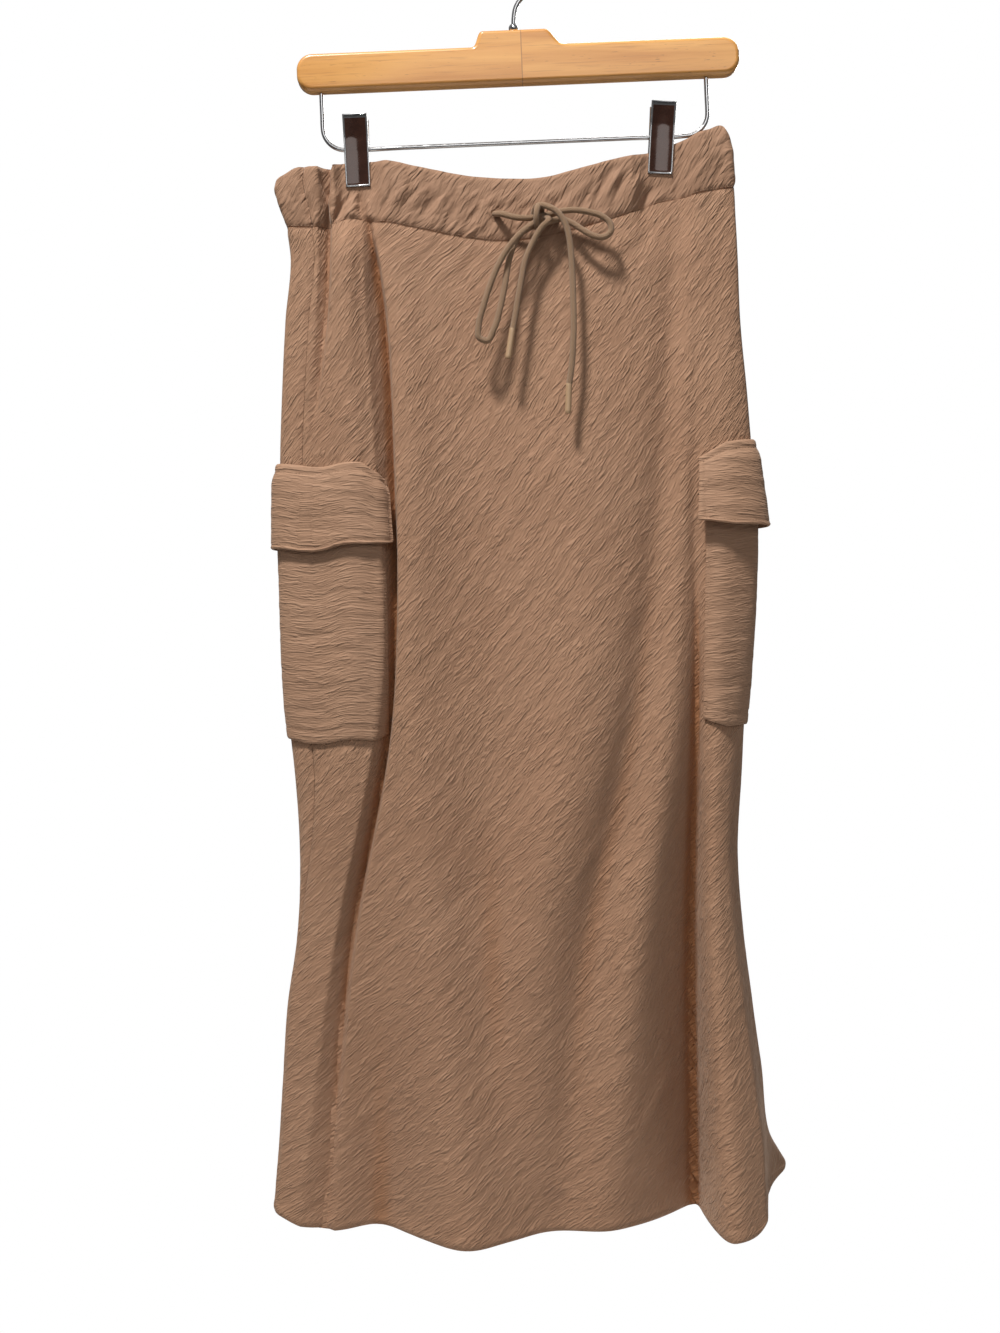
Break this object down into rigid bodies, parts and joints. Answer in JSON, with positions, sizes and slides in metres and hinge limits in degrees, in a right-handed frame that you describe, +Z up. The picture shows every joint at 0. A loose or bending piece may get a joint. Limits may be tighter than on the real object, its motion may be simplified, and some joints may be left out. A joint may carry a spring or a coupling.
{
  "type": "cargo skirt on a clip hanger",
  "caption": "Long cloth skirt with a gathered drawcord waist and a flapped pocket on each side, hung by two clips from a flat wooden hanger.",
  "frame": {"origin": "inner top of the hanger's hook, where a rail carries it", "axes": "+X to the right of someone facing the skirt's front, -Y out of its front, +Z up"},
  "size_m": [0.4258, 0.1247, 1.0336],
  "materials": {
    "tan crinkle cloth": "crinkled crepe with a soft sheen",
    "braided drawcord": "round braid",
    "cord tip": "satin",
    "varnished wood": "clear varnish",
    "chromed steel": "polished"
  },
  "bodies": {
    "root": {"front_panel": "tan crinkle cloth", "back_panel": "tan crinkle cloth", "casing_front": "tan crinkle cloth", "casing_back": "tan crinkle cloth", "pocket_left": "tan crinkle cloth", "pocket_right": "tan crinkle cloth", "flap_left": "tan crinkle cloth", "flap_right": "tan crinkle cloth", "drawcord_knot": "braided drawcord", "drawcord_left_run": "braided drawcord", "drawcord_right_loop": "braided drawcord", "drawcord_right_tail": "braided drawcord", "drawcord_left_loop": "braided drawcord", "drawcord_left_tail": "braided drawcord", "aglet_right": "cord tip", "aglet_left": "cord tip", "hanger_bar": "varnished wood", "hook": "chromed steel", "hook_ferrule": "chromed steel", "wire_bow": "chromed steel", "clip_left_front": "chromed steel", "clip_left_back": "chromed steel", "clip_left_barrel": "chromed steel", "clip_right_front": "chromed steel", "clip_right_back": "chromed steel", "clip_right_barrel": "chromed steel"}
  },
  "joints": []
}
